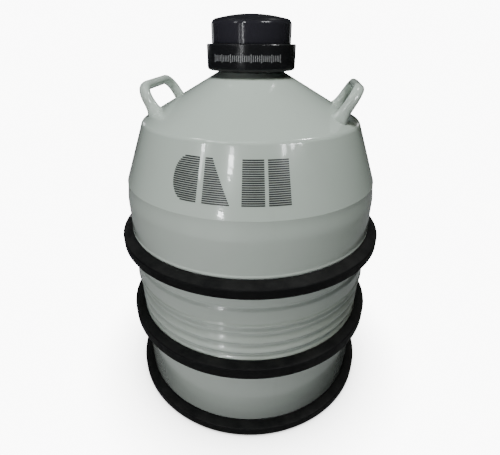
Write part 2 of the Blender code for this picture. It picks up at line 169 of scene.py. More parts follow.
def without_straight_points(outline, closed):
    """Leaves out doubled points and those that lie on a straight stretch."""
    kept = []
    count = len(outline)
    for i, point in enumerate(outline):
        if not closed and i in (0, count - 1):
            kept.append(point)
            continue
        back = outline[i - 1] - point
        ahead = outline[(i + 1) % count] - point
        if back.length > 1e-4 and ahead.length > 1e-4 and back.angle(ahead) < math.radians(179.5):
            kept.append(point)
    return kept


# ---------------------------------------------------------------- meshes


def mesh_piece(name, shape, material, smooth_angle=SMOOTH_ANGLE):
    """Makes an object of a finished bmesh, shaded smooth apart from its sharp edges."""
    bmesh.ops.recalc_face_normals(shape, faces=shape.faces)
    mesh = bpy.data.meshes.new(name)
    shape.to_mesh(mesh)
    shape.free()
    mesh.shade_smooth()
    mesh.set_sharp_from_angle(angle=math.radians(smooth_angle))
    piece = bpy.data.objects.new(name, mesh)
    bpy.context.scene.collection.objects.link(piece)
    if material:
        mesh.materials.append(material)
    return piece


def lathe_shape(outline, facets, closed=True, centre=(0.0, 0.0)):
    """A bmesh turned about the vertical through centre. Outline points on the axis become poles."""
    shape = bmesh.new()
    rings = []
    for r, z in outline:
        if r < ON_AXIS:
            rings.append([shape.verts.new((centre[0], centre[1], z * MM))])
            continue
        ring = []
        for i in range(facets):
            turn = math.tau * i / facets
            x = centre[0] + r * MM * math.cos(turn)
            y = centre[1] + r * MM * math.sin(turn)
            ring.append(shape.verts.new((x, y, z * MM)))
        rings.append(ring)
    pairs = list(zip(rings, rings[1:]))
    if closed:
        pairs.append((rings[-1], rings[0]))
    for upper, lower in pairs:
        if len(upper) == 1 and len(lower) == 1:
            continue
        for i in range(facets):
            j = (i + 1) % facets
            corners = [upper[i % len(upper)], lower[i % len(lower)]]
            corners += [lower[j % len(lower)], upper[j % len(upper)]]
            shape.faces.new(list(dict.fromkeys(corners)))
    return shape


def stand_for(piece, body, slot, *nodes):
    """Puts a piece on its body, in place of the CAD nodes that it shows."""
    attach(piece, body)
    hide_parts(*nodes)
    return piece


def turned_node(name, node, body, slot, material, soften=0.5, facets=FINE, centre=(0.0, 0.0)):
    """A fine copy of a turned CAD node, with its corners a little rounded."""
    outline, closed = node_outline(node, centre)
    shape = lathe_shape(rounded(outline, closed, soften), facets, closed, centre)
    return stand_for(mesh_piece(name, shape, material), body, slot, node)


def cut_from(piece, cutters):
    """Cuts the cutters out of a piece and leaves a plain mesh."""
    for cutter in cutters:
        modifier = piece.modifiers.new(cutter.name, "BOOLEAN")
        modifier.operation = "DIFFERENCE"
        modifier.object = cutter
    graph = bpy.context.evaluated_depsgraph_get()
    mesh = bpy.data.meshes.new_from_object(piece.evaluated_get(graph), depsgraph=graph)
    piece.modifiers.clear()
    piece.data = mesh
    mesh.set_sharp_from_angle(angle=math.radians(SMOOTH_ANGLE))
    for cutter in cutters:
        bpy.data.objects.remove(cutter)


# ---------------------------------------------------------------- materials


class Look:
    """A node-based material with short calls for the nodes it is made of."""

    def __init__(self, name):
        self.material = bpy.data.materials.new(name)
        self.material.use_nodes = True
        self.tree = self.material.node_tree
        self.shader = self.tree.nodes["Principled BSDF"]
        coordinates = self.tree.nodes.new("ShaderNodeTexCoord")
        self.place = coordinates.outputs["Object"]

    def node(self, kind, inputs=None, **settings):
        made = self.tree.nodes.new(kind)
        for key, value in settings.items():
            setattr(made, key, value)
        for key, value in (inputs or {}).items():
            self.put(made.inputs[key], value)
        return made

    def put(self, socket, value):
        if isinstance(value, bpy.types.NodeSocket):
            self.tree.links.new(value, socket)
        elif isinstance(value, tuple) and len(value) == 3 and socket.type == "RGBA":
            socket.default_value = (*value, 1)
        else:
            socket.default_value = value

    def set(self, **inputs):
        for key, value in inputs.items():
            self.put(self.shader.inputs[key.replace("_", " ")], value)

    def stretched(self, scale):
        return self.node("ShaderNodeMapping", {"Vector": self.place, "Scale": scale}).outputs[0]

    def noise(self, scale, detail=3.0, rough=0.55, vector=None, distortion=0.0):
        inputs = {"Vector": vector or self.place, "Scale": scale, "Detail": detail, "Roughness": rough}
        inputs["Distortion"] = distortion
        return self.node("ShaderNodeTexNoise", inputs).outputs["Fac"]

    def math(self, operation, a, b):
        made = self.node("ShaderNodeMath", operation=operation)
        self.put(made.inputs[0], a)
        self.put(made.inputs[1], b)
        return made.outputs[0]

    def fade(self, value, low, high, to_low=0.0, to_high=1.0):
        """Maps low..high to to_low..to_high, smoothly and clamped."""
        inputs = {"Value": value, "From Min": low, "From Max": high, "To Min": to_low, "To Max": to_high}
        made = self.node("ShaderNodeMapRange", inputs, interpolation_type="SMOOTHSTEP")
        return made.outputs[0]

    def mix(self, factor, a, b):
        made = self.node("ShaderNodeMix", data_type="RGBA")
        for index, value in ((0, factor), (6, a), (7, b)):
            self.put(made.inputs[index], value)
        return made.outputs[2]

    def facing_up(self):
        geometry = self.node("ShaderNodeNewGeometry")
        return self.node("ShaderNodeSeparateXYZ", {"Vector": geometry.outputs["Normal"]}).outputs["Z"]

    def specks(self, scale, radius, share):
        """Small round spots: one cell in some holds a spot, and the rest are left clean."""
        cells = self.node("ShaderNodeTexVoronoi", {"Vector": self.place, "Scale": scale})
        colour = self.node("ShaderNodeSeparateColor", {"Color": cells.outputs["Color"]})
        spot = self.fade(cells.outputs["Distance"], radius * scale * MM, 0.0)
        chosen = self.math("GREATER_THAN", colour.outputs[0], 1 - share)
        return self.math("MULTIPLY", spot, chosen)

    def bumps(self, *layers):
        """Stacks (height, depth in millimetres, strength) layers into one normal."""
        normal = None
        for height, depth, strength in layers:
            inputs = {"Height": height, "Distance": depth * MM, "Strength": strength}
            if normal:
                inputs["Normal"] = normal
            normal = self.node("ShaderNodeBump", inputs).outputs[0]
        self.set(Normal=normal)


def enamel_paint():
    """Glossy light grey-green enamel over spun aluminium, lightly soiled, with a few small chips."""
    look = Look("grey_green_enamel")
    clean = look.mix(look.noise(2.6, 2), (0.456, 0.513, 0.462), (0.475, 0.518, 0.483))
    film = look.fade(look.noise(9, 4, distortion=0.6), 0.42, 0.8, 0.0, 0.16)
    soiled = look.mix(film, clean, (0.36, 0.375, 0.345))
    smear = look.noise(26, 5, vector=look.stretched((1, 1, 0.16)))
    streaked = look.mix(look.fade(smear, 0.6, 0.82, 0.0, 0.14), soiled, (0.31, 0.32, 0.295))
    chips = look.specks(38, 0.9, 0.05)
    look.set(Base_Color=look.mix(chips, streaked, (0.2, 0.205, 0.19)))
    look.set(Roughness=look.fade(look.noise(14, 4), 0.35, 0.75, 0.17, 0.26))
    look.set(IOR=1.45, Coat_Weight=0.7, Coat_IOR=1.5, Coat_Roughness=0.035)
    ripple = look.noise(38, 2)
    spun = look.noise(5.5, 1.5, vector=look.stretched((1, 1, 2.2)))
    look.bumps((spun, 1.6, 0.25), (ripple, 0.12, 0.15), (chips, -0.15, 0.6))
    return look.material


def bumper_rubber():
    """Matt black moulded rubber with grain, paler in patches where it faces up."""
    look = Look("bumper_rubber")
    grey = look.mix(look.noise(18, 4), (0.0018, 0.0018, 0.002), (0.0034, 0.0034, 0.0037))
    # where it faces up, the black is mixed in patches towards a paler grey
    upward = look.fade(look.facing_up(), 0.5, 0.98)
    pale_patches = look.math("MULTIPLY", upward, look.fade(look.noise(33, 5), 0.3, 0.75))
    paler_on_top = look.mix(look.math("MULTIPLY", pale_patches, 0.5), grey, (0.018, 0.0177, 0.017))
    marks = look.math("MULTIPLY", look.fade(look.noise(120, 5), 0.66, 0.78), 0.35)
    look.set(Base_Color=look.mix(marks, paler_on_top, (0.03, 0.03, 0.029)), Specular_IOR_Level=0.3)
    look.set(Roughness=look.fade(look.noise(40, 4), 0.3, 0.7, 0.5, 0.7), IOR=1.4)
    look.bumps((look.noise(900, 3), 0.08, 0.5), (look.noise(60, 3), 0.5, 0.25))
    return look.material


def gloss_black():
    """Glossy black moulded plastic with fine rubbing marks and a little dust, duller where it faces up and
    coloured darker there as painted shade.
    """
    look = Look("gloss_black_plastic")
    pale_patches = look.math("MULTIPLY", look.specks(260, 0.22, 0.12), 0.5)
    # painted shade: the black is coloured darker where it faces up, so the top looks no brighter than the side
    # under the light from above
    upward = look.fade(look.facing_up(), 0.08, 0.6)
    black = look.mix(upward, (0.025, 0.0235, 0.031), (0.01, 0.0095, 0.0125))
    look.set(Base_Color=look.mix(pale_patches, black, (0.22, 0.22, 0.21)))
    rub = look.fade(look.noise(35, 6, vector=look.stretched((1, 1, 14))), 0.5, 0.8, 0.0, 0.1)
    cloud = look.fade(look.noise(16, 4), 0.35, 0.75, 0.07, 0.15)
    dull = look.fade(look.facing_up(), 0.1, 0.5, 0.0, 0.3)
    rough = look.math("ADD", dull, look.math("ADD", rub, cloud))
    look.set(Roughness=rough, IOR=1.5)
    look.set(Specular_IOR_Level=look.fade(look.facing_up(), 0.08, 0.5, 0.5, 0.1))
    look.bumps((look.noise(24, 2), 0.3, 0.15), (look.noise(520, 2), 0.02, 0.3))
    return look.material


def satin_black():
    """The collar's black plastic: the same moulding, worn a little duller."""
    look = Look("satin_black_plastic")
    worn = look.fade(look.noise(48, 5), 0.55, 0.8, 0.0, 0.5)
    look.set(Base_Color=look.mix(worn, (0.0105, 0.0105, 0.012), (0.022, 0.022, 0.023)))
    look.set(Roughness=look.fade(look.noise(30, 4), 0.3, 0.75, 0.16, 0.25), IOR=1.5)
    look.set(Specular_IOR_Level=0.4)
    look.bumps((look.noise(700, 2), 0.03, 0.4), (look.noise(20, 2), 0.4, 0.2))
    return look.material


def bare_metal(name, colour, roughness, lathe_lines):
    """Machined or drawn metal with fine rings left by the tool."""
    look = Look(name)
    rings = look.noise(70, 3, vector=look.stretched((0.6, 0.6, lathe_lines)))
    tarnish = look.fade(look.noise(12, 4), 0.4, 0.8, 0.0, 0.45)
    darker = tuple(channel * 0.72 for channel in colour)
    look.set(Base_Color=look.mix(tarnish, colour, darker), Metallic=1.0)
    look.set(Roughness=look.fade(rings, 0.3, 0.7, roughness - 0.08, roughness + 0.1))
    look.bumps((rings, 0.03, 0.4), (look.noise(500, 2), 0.01, 0.3))
    return look.material


def glass_fibre():
    """The neck tube: resin laminate with a fine wound weave."""
    look = Look("glass_fibre_tube")
    inputs = {"Vector": look.place, "Scale": 160, "Distortion": 2.0, "Detail": 2.0}
    weave = look.node("ShaderNodeTexWave", inputs, bands_direction="Z").outputs["Fac"]
    look.set(Base_Color=look.mix(weave, (0.34, 0.31, 0.15), (0.45, 0.42, 0.24)), Roughness=0.38)
    look.bumps((weave, 0.05, 0.4))
    return look.material


def plug_foam():
    """Closed-cell foam with small cells, a little yellowed."""
    look = Look("plug_foam")
    cells = look.node("ShaderNodeTexVoronoi", {"Vector": look.place, "Scale": 520}).outputs["Distance"]
    aged = look.mix(look.noise(14, 4), (0.74, 0.73, 0.68), (0.62, 0.58, 0.47))
    pits = look.fade(cells, 0.25, 0.7, 0.0, 0.3)
    look.set(Base_Color=look.mix(pits, aged, (0.45, 0.43, 0.37)), Roughness=0.9)
    look.bumps((cells, 0.3, 0.6), (look.noise(60, 3), 0.6, 0.3))
    return look.material


def foil_wrap():
    """Crinkled reflective foil round the inner vessel."""
    look = Look("foil_wrap")
    crinkle = look.noise(55, 6, 0.65, distortion=1.4)
    look.set(Base_Color=look.mix(crinkle, (0.7, 0.7, 0.72), (0.86, 0.86, 0.88)), Metallic=0.95)
    look.set(Roughness=look.fade(crinkle, 0.3, 0.7, 0.28, 0.42))
    look.bumps((crinkle, 1.5, 0.7))
    return look.material


def grip_plastic():
    """Moulded red plastic of the canister grips."""
    look = Look("red_grip_plastic")
    look.set(Base_Color=look.mix(look.noise(90, 4), (0.36, 0.022, 0.018), (0.46, 0.04, 0.03)))
    look.set(Roughness=look.fade(look.noise(120, 4), 0.3, 0.7, 0.3, 0.48))
    look.bumps((look.noise(900, 2), 0.02, 0.5))
    return look.material


def printed_ink(name, colour, worn_share):
    """Screen-printed ink that has rubbed thin in places."""
    look = Look(name)
    rubbed = look.fade(look.noise(85, 5), 0.72 - worn_share, 0.86 - worn_share, 0.0, 0.6)
    paler = tuple(channel * 0.4 + 0.08 for channel in colour)
    look.set(Base_Color=look.mix(rubbed, colour, paler))
    look.set(Roughness=look.fade(look.noise(60, 4), 0.3, 0.7, 0.28, 0.45), Coat_Weight=0.15)
    look.bumps((look.noise(600, 2), 0.03, 0.4))
    return look.material


PAINT = enamel_paint()
RUBBER = bumper_rubber()
GLOSS = gloss_black()
SATIN = satin_black()
ALUMINIUM = bare_metal("machined_aluminium", (0.72, 0.73, 0.74), 0.37, 9.0)
STEEL = bare_metal("stainless_steel", (0.58, 0.57, 0.56), 0.37, 0.3)
FIBRE = glass_fibre()
FOAM = plug_foam()
FOIL = foil_wrap()
RED = grip_plastic()
DARK_INK = printed_ink("dark_print", (0.03, 0.031, 0.03), 0.06)
PALE_INK = printed_ink("pale_print", (0.24, 0.24, 0.25), 0.2)


# ---------------------------------------------------------------- outer vessel


def top_of(node):
    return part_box(node)[1].z / MM


def foot_of(node):
    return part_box(node)[0].z / MM


def radius_of(node):
    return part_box(node)[1].x / MM


BELT_Z = foot_of("outer_shoulder")
WELD_Z = BELT_Z - 0.2  # where the shoulder and the side wall meet
LIP_TOP_Z = top_of("outer_shoulder")
BODY_R = radius_of("outer_cylinder") - 2.8  # the raised band stands 2.8 mm proud of the wall
WALL = 2.5
BELT_R = BODY_R - 3.5
KNUCKLE_R, KNUCKLE_Z = BODY_R - 40.5, BELT_Z + 98.5
NECK_R, NECK_Z = 47.0, LIP_TOP_Z - 5


def cone_height(r):
    """Height of the shoulder cone's outer surface at a distance from the axis."""
    return NECK_Z + (KNUCKLE_Z - NECK_Z) * (r - NECK_R) / (KNUCKLE_R - NECK_R)


def skirt_radius(z):
    """Radius of the skirt between the knuckle and the belt."""
    return KNUCKLE_R + (BELT_R - KNUCKLE_R) * (KNUCKLE_Z - z) / (KNUCKLE_Z - BELT_Z)


def shoulder():
    """The spun shoulder: neck lip, cone, rounded knuckle and the skirt down to the belt."""
    corners = [
        (NECK_R, LIP_TOP_Z),
        (NECK_R, NECK_Z, 4, 6),
        (KNUCKLE_R, KNUCKLE_Z, 12, 14),
        (BELT_R, WELD_Z + 0.03),
    ]
    outline = walled(rounded(corners), WALL)
    piece = mesh_piece("shoulder_skin", lathe_shape(outline, SKIN), PAINT)
    stand_for(piece, "vessel", "grey_paint", "outer_shoulder")


# The rolled part of the side wall, a raised band over three beads, as (height, how far it stands proud)
ROLLED = (
    (298, 0.0),
    (293.8, -1.4),
    (286, 1.9),
    (273, 1.2),
    (262.5, 0.9),
    (257.5, 3.0),
    (249.3, -3.9),
    (241, -0.8),
    (233.4, -6.4),
    (219.5, -0.2),
    (210.5, -6.0),
    (198, -0.2),
    (188.5, -5.4),
    (179, 0.0),
)
BEAD_STEPS = 8  # outline steps between two turning points


def side_wall():
    """The side wall: belt, plain wall, a slight bead over the upper ring, and the rolled part below it."""
    foot = foot_of("outer_cylinder")
    bore, behind_beads = BODY_R - 5.5, BODY_R - 8.2
    beads_start = top_of("bumper_ring_middle") - 20
    ring_top = top_of("bumper_ring_upper")
    turns = [
        (BELT_R, WELD_Z),
        (BODY_R, BELT_Z - 34),
        (BODY_R, ring_top + 6),
        (BODY_R + 0.9, ring_top + 2.2),
        (BODY_R, ring_top - 2),
    ]
    turns += [(BODY_R + proud, z) for z, proud in ROLLED]
    inside = [(BODY_R, foot + 0.6), (BODY_R - 0.6, foot), (bore, foot), (bore, beads_start)]
    inside += [(behind_beads, beads_start + 8), (behind_beads, BELT_Z - 30), (BELT_R - WALL, WELD_Z)]
    outline = flowing(turns, BEAD_STEPS) + [Vector(point) for point in inside]
    piece = mesh_piece("side_wall_skin", lathe_shape(outline, SKIN), PAINT, 60)
    stand_for(piece, "vessel", "grey_paint", "outer_cylinder")


def bumper_ring(name):
    """A moulded rubber hoop with soft edges, its outside up to 0.7 mm out of round."""
    middle = (foot_of(name) + top_of(name)) / 2
    outer = radius_of(name)
    outline, closed = node_outline(name)
    corners = []
    for point in outline:
        softness = (2.2, 5) if point.x > outer - 4 else (0.8, 2)  # radius and steps
        corners.append((point.x, point.y, *softness))
    shape = lathe_shape(rounded(corners, closed), SKIN)
    for vert in shape.verts:
        turn = math.atan2(vert.co.y, vert.co.x)
        r = math.hypot(vert.co.x, vert.co.y) / MM
        if r > outer - 16 and vert.co.z / MM > 1:
            wave = math.sin(3 * turn + middle) + 0.6 * math.sin(7 * turn + 2.1 * middle)
            pulled_in = min(0.28 * wave - 0.2, 0)
            vert.co.x *= (r + pulled_in) / r
            vert.co.y *= (r + pulled_in) / r
    piece = mesh_piece(name + "_rubber", shape, RUBBER, 50)
    stand_for(piece, "vessel", "black_rubber", name)


# ---------------------------------------------------------------- handles


def handle(name, side, sag):
    """A carrying handle: an oval bar bent into a loop, with feet that flare into the weld on the cone.

    Its front corner stands lower than the back one by sag.
    """
    bar_radius = 7.5  # of the CAD bar
    half_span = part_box(name)[1].y / MM - bar_radius
    axis_r = 155.0  # how far the feet stand from the vessel's axis
    lean = math.radians(30)
    outward = Vector((side * math.sin(lean), 0, math.cos(lean)))
    crown = cone_height(axis_r)
    top_rise, buried = 42.0, -20
    bar_across, bar_beside = 8.8, 7.2  # half sizes of the oval
    bend = (26, 16)  # radius and steps
    corners = [
        (half_span + 1, buried),
        (half_span - 4, top_rise, *bend),
        (-half_span + 4, top_rise - sag, *bend),
        (-half_span - 1, buried),
    ]
    path = []
    for point in densified(rounded(corners), 5):
        path.append(Vector((side * axis_r, point.x, crown)) + outward * point.y)
    shape = bmesh.new()
    rings = []
    count = len(path)
    for i, point in enumerate(path):
        along = (path[min(i + 1, count - 1)] - path[max(i - 1, 0)]).normalized()
        across = Vector((0, 1, 0)).cross(outward).normalized()
        beside = along.cross(across).normalized()
        above = max(0.0, point.z - cone_height(math.hypot(point.x, point.y)))
        flare = 1 + 0.5 * math.exp(-above / 6) + 0.12 * math.exp(-above / 20)  # a tight fillet and a wide one
        rings.append(oval_ring(shape, point, across, beside, bar_across * flare, bar_beside * flare))
    for upper, lower in zip(rings, rings[1:]):
        bridge(shape, upper, lower)
    shape.faces.new(rings[0])
    shape.faces.new(rings[-1])
    for vert in shape.verts:
        x, y, z = vert.co / MM
        vert.co.z = max(z, cone_height(math.hypot(x, y)) - 1.0) * MM
    piece = mesh_piece(name + "_bar", shape, PAINT, 60)
    stand_for(piece, "vessel", "grey_paint", name)


def densified(points, step):
    """Adds points along straight stretches so that none is longer than step."""
    made = [points[0]]
    for start, end in zip(points, points[1:]):
        pieces = max(1, math.ceil((end - start).length / step))
        made += [start.lerp(end, i / pieces) for i in range(1, pieces + 1)]
    return made


def oval_ring(shape, centre, across, beside, half_a, half_b):
    """A ring of vertices on a rounded-square oval, in millimetres."""
    count, squareness = 24, 2.6
    ring = []
    for i in range(count):
        turn = math.tau * i / count
        c, s = math.cos(turn), math.sin(turn)
        swell = (abs(c) ** squareness + abs(s) ** squareness) ** (-1 / squareness)
        offset = across * (half_a * c * swell) + beside * (half_b * s * swell)
        ring.append(shape.verts.new((centre + offset) * MM))
    return ring


def bridge(shape, upper, lower):
    """Joins two rings of vertices with a band of faces."""
    count = len(upper)
    for i in range(count):
        j = (i + 1) % count
        shape.faces.new((upper[i], lower[i], lower[j], upper[j]))


# ---------------------------------------------------------------- printing


PRINT_PROUD = 0.12  # how far print stands off the surface
PRINT_BACK = 0.02
PATCH_STEP = math.radians(1.2)  # widest facet of a printed patch


def curved_patch(shape, left, right, low, high, radius_at):
    """A thin closed patch of print on the vessel: left and right are angles, low and high are heights."""
    columns = max(1, math.ceil((right - left) / PATCH_STEP))
    grids = []
    for height_above in (PRINT_PROUD, PRINT_BACK):
        grid = []
        for z in (low, high):
            line = []
            for column in range(columns + 1):
                turn = left + (right - left) * column / columns
                r = radius_at(z) + height_above
                line.append(shape.verts.new((r * MM * math.sin(turn), -r * MM * math.cos(turn), z * MM)))
            grid.append(line)
        grids.append(grid)
    for column in range(columns):
        for bottom, top in grids:
            shape.faces.new((bottom[column], bottom[column + 1], top[column + 1], top[column]))
    rims = [bottom + top[::-1] for bottom, top in grids]
    bridge(shape, *rims)


def front_marking():
    """A plain emblem on the skirt: a half disc, a triangle and two upright blocks, cut into fine stripes."""
    low_z, high_z = 461.5, 521.5
    stripes = 21
    pitch = (high_z - low_z) / stripes
    inked = 0.7  # share of the pitch that is printed
    least_width = 0.04  # stripes narrower than this share of their block are left out

    # Each outline gives a block's left and right edges, from 0 to 1, at a share t of its height.
    def half_round(t):
        return 0.55 * (1 - math.sqrt(max(0.0, 1 - (2 * t - 1) ** 2))), 1.0

    def triangle(t):
        return 0.0, 1 - 0.72 * t

    def block(t):
        return 0.0, 1.0

    # where each block starts and ends in degrees, and its outline
    blocks = [(-21.4, -10.2, half_round), (-7.9, 2.8, triangle), (7.0, 15.5, block), (16.9, 25.3, block)]
    shape = bmesh.new()
    for start, end, width_at in blocks:
        for stripe in range(stripes):
            left, right = width_at((stripe + 0.5) / stripes)
            if right - left < least_width:
                continue
            low = low_z + pitch * stripe
            span = math.radians(end - start)
            first = math.radians(start)
            patch = (first + span * left, first + span * right, low, low + pitch * inked)
            curved_patch(shape, *patch, skirt_radius)
    piece = mesh_piece("front_marking", shape, DARK_INK)
    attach(piece, "vessel")


def collar_marking():
    """A row of pale tick marks round the front of the collar, every fifth one longer."""
    collar_r = radius_of("collar_ring")
    middle = (top_of("collar_ring") + foot_of("collar_ring")) / 2 + 1
    ticks = 36
    start, spread, half_width = math.radians(-40), math.radians(87.5), math.radians(0.55)
    long_half, short_half = 5.6, 4.2
    shape = bmesh.new()
    for tick in range(ticks):
        turn = start + spread * tick / (ticks - 1)
        half_height = long_half if tick % 5 == 0 else short_half
        patch = (turn - half_width, turn + half_width, middle - half_height, middle + half_height)
        curved_patch(shape, *patch, lambda z: collar_r)
    piece = mesh_piece("collar_marking", shape, PALE_INK)
    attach(piece, "vessel")


# ---------------------------------------------------------------- neck, cap and canisters


def collar():
    """The collar ring under the cap, with its edges rounded."""
    outline, closed = node_outline("collar_ring")
    shape = lathe_shape(rounded(outline, closed, 0.7, 3), SKIN, closed)
    stand_for(mesh_piece("collar_moulding", shape, SATIN), "vessel", "black_plastic", "collar_ring")


def cap():
    """The cap: straight side, well rounded top edge and a domed top."""
    foot, top = foot_of("cap_shell") - 0.3, top_of("cap_shell")
    r = radius_of("cap_shell")
    wall, crown, crown_share, fillet = 3.0, 9.0, 0.75, 13
    crown_steps = 6
    dome = []
    for step in range(crown_steps + 1):
        share = crown_share * step / crown_steps
        dome.append(Vector((r * share, top - crown * share**2)))
    # the dome, carried on straight from its edge, meets the side at this height
    corner_z = top - crown * crown_share * (2 - crown_share)
    side = rounded([tuple(dome[-1]), (r, corner_z, fillet, 14), (r, foot + 0.4), (r - 0.4, foot)])
    outline = walled(dome[:-1] + side, wall)
    outline[0].x = 0
    outline[-1].x = 0
    shape = lathe_shape(outline, SKIN, False)
    stand_for(mesh_piece("cap_moulding", shape, GLOSS), "cap", "black_plastic", "cap_shell")


def index_ring():
    """The ring the hooks hang on, with a groove for each rod."""
    outline, closed = node_outline("index_ring")
    ring = mesh_piece("index_ring_plate", lathe_shape(rounded(outline, closed, 0.6), FINE, closed), ALUMINIUM)
    cutters = []
    inner, outer = 20.0, 75.0
    groove_width, groove_height = 4.6, 5.2
    middle = (inner + outer) / 2
    top = top_of("index_ring")
    for number in range(1, 7):
        angle = canister_angle(number)
        shape = bmesh.new()
        bmesh.ops.create_cube(shape, size=MM)
        bmesh.ops.scale(shape, vec=(outer - inner, groove_width, groove_height), verts=shape.verts)
        place = Vector((middle * math.cos(angle), middle * math.sin(angle), top))
        cutter = mesh_piece(f"groove_{number}", shape, None)
        cutter.location = place * MM
        cutter.rotation_euler.z = angle
        cutters.append(cutter)
    bpy.context.view_layer.update()
    cut_from(ring, cutters)
    stand_for(ring, "vessel", "bare_aluminium", "index_ring")


def canister_angle(number):
    """The direction in which a canister stands from the axis."""
    low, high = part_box(f"canister_{number}")
    centre = (low + high) / 2
    return math.atan2(centre.y, centre.x)


def canister_set(number):
    """One canister cup, its rod bent into a hook at the top, and the grip on the hook."""
    body = f"canister_set_{number}"
    low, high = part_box(f"canister_{number}")
    centre = (low + high) / 2
    names = (f"canister_cup_{number}", f"canister_{number}")
    turned_node(*names, body, "stainless_steel", STEEL, 0.3, CUP_FACETS, (centre.x, centre.y))
    angle = canister_angle(number)
    away = Vector((math.cos(angle), math.sin(angle), 0))
    rod_low, rod_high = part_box(f"canister_rod_{number}")
    rod_r = 1.5
    stem_r, hook_end, bend = 29.2, 57.0, 4.5
    hook_z = rod_high.z / MM - rod_r
    corners = [(stem_r, rod_low.z / MM), (stem_r, hook_z, bend, 8), (hook_end, hook_z)]
    curve = bpy.data.curves.new(f"rod_{number}", "CURVE")
    curve.dimensions = "3D"
    spline = curve.splines.new("POLY")
    path = rounded(corners)
    spline.points.add(len(path) - 1)
    for point, (r, z) in zip(spline.points, path):
        point.co = (*((away * r + Vector((0, 0, z))) * MM), 1)
    curve.bevel_depth = rod_r * MM
    curve.bevel_resolution = 4
    curve.use_fill_caps = True
    drawn = bpy.data.objects.new(f"rod_{number}", curve)
    bpy.context.scene.collection.objects.link(drawn)
    graph = bpy.context.evaluated_depsgraph_get()
    shape = bmesh.new()
    shape.from_mesh(drawn.evaluated_get(graph).to_mesh())
    bmesh.ops.remove_doubles(shape, verts=shape.verts, dist=1e-5)
    bpy.data.objects.remove(drawn)
    rod = mesh_piece(f"canister_hook_{number}", shape, STEEL)
    stand_for(rod, body, "stainless_steel", f"canister_rod_{number}")
    canister_grip(number, angle, body)


def canister_grip(number, angle, body):
    """A small moulded grip, crowned on top and hollowed at the sides for the fingers."""
    node = f"canister_grip_{number}"
    low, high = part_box(node)
    centre = (low + high) / 2
    length, width, height = 14.0, 9.0, (high.z - low.z) / MM
    squareness = 5
    shape = bmesh.new()
    bmesh.ops.create_cube(shape, size=MM)
    bmesh.ops.subdivide_edges(shape, edges=shape.edges, cuts=6, use_grid_fill=True)
    for vert in shape.verts:
        x, y, z = (part / MM for part in vert.co)
        waist = 1 - 0.22 * math.cos(math.pi * x) ** 2 * (abs(y) > 0.01)
        corner = sum(abs(2 * part) ** squareness for part in (x, y, z)) + 1e-9
        corner **= 1 / squareness
        reach = max(abs(2 * x), abs(2 * y), abs(2 * z)) / corner
        vert.co = Vector((x * length, y * width * waist, z * height)) * reach * MM
    piece = mesh_piece(f"canister_knob_{number}", shape, RED, 60)
    piece.location = centre
    piece.rotation_euler.z = angle
    stand_for(piece, body, "red_plastic", node)


# ---------------------------------------------------------------- light and camera


CAMERA_AZIMUTH = 10.2
BACKDROP = 10.0  # how bright the white floor and backdrop look to the camera
DAYLIGHT = (0.97, 0.985, 1.0)
COOL = (0.93, 0.985, 1.01)
GREENISH = (0.995, 1.01, 0.88)
WARM = (1.02, 0.975, 0.98)
WHITE = (1, 1, 1)
WINDOW_DISTANCE = 2.3
LAMP_DISTANCE, LAMP_HEIGHT, LAMP_SIZE = 1.15, 2.35, (0.26, 0.22)
SOFTBOXES = (  # name, watts, size, azimuth, distance, height, height of the target, colour
    ("softbox_over_front", 39, (0.6, 0.6), -10, 0.5, 2.4, 0.4, COOL),
    ("softbox_over_right", 18, (0.6, 0.8), 10, 0.85, 2.4, 0.4, GREENISH),
    ("softbox_front", 6.9, (0.6, 0.4), -18, 1.75, 0.3, 0.2, COOL),
    ("softbox_low", 1.8, (0.5, 0.14), -20, 1.3, 0.1, 0.1, WARM),
    ("softbox_low_left", 2.4, (0.5, 0.14), -43, 1.35, 0.1, 0.1, WARM),
    ("softbox_rear", 24, (1.2, 0.9), 180, 1.9, 1.3, 0.4, COOL),
)
WINDOWS = (  # name, azimuth, low and high edge, width, radiance
    ("window_left_top", -18, 1.55, 1.61, 0.15, 22),
    ("window_left_main", -18, 1.43, 1.535, 0.18, 66),
    ("window_left_under", -18.5, 1.36, 1.41, 0.17, 60),
    ("window_left_spot", -19, 1.3, 1.33, 0.09, 40),
    ("window_left_sill", -24, 0.96, 1.005, 0.19, 80),
    ("window_far_left_top", -44, 1.52, 1.6, 0.2, 22),
    ("window_far_left_main", -46, 1.4, 1.51, 0.13, 40),
    ("window_far_left_column", -46, 1.16, 1.4, 0.1, 15),
    ("window_low", -23.5, 0.55, 0.86, 0.05, 30),
    ("window_low_left", -33, 0.55, 0.86, 0.04, 12),
    ("window_rear_left", -142, 0.66, 1.0, 0.35, 1.6),
    ("window_rear_right", 143, 0.66, 1.0, 0.3, 1.0),
    ("window_right_1", 32, 1.48, 1.74, 0.17, 22),
    ("window_right_1_top", 33, 1.8, 2.1, 0.22, 34),
    ("window_right_2", 41, 1.48, 1.74, 0.17, 22),
    ("window_right_2_top", 42, 1.8, 2.1, 0.22, 34),
    ("window_right_3", 50, 1.48, 1.74, 0.17, 22),
    ("window_right_3_top", 51, 1.8, 2.1, 0.22, 34),
)
CEILING_LAMPS = ((-92, 20), (-62, 16), (-40, 12), (101, 60))  # azimuth, radiance


def around(azimuth, distance, height):
    """A place round the vessel in metres. Azimuth 0 is the viewer's side, and positive is to their right."""
    turn = math.radians(azimuth + CAMERA_AZIMUTH)
    return Vector((distance * math.sin(turn), -distance * math.cos(turn), height))


def area_light(name, energy, size, place, target, colour, mirrored):
    """A rectangular light. A mirrored one is only seen in gloss, and the others only light the surfaces."""
    lamp = bpy.data.lights.new(name, "AREA")
    lamp.shape = "RECTANGLE"
    lamp.size, lamp.size_y = size
    lamp.energy = energy
    lamp.color = colour
    light = bpy.data.objects.new(name, lamp)
    light.location = place
    light.rotation_euler = (Vector(target) - Vector(place)).to_track_quat("-Z", "Y").to_euler()
    light.visible_camera = False
    light.visible_glossy = mirrored
    light.visible_diffuse = not mirrored
    bpy.context.scene.collection.objects.link(light)


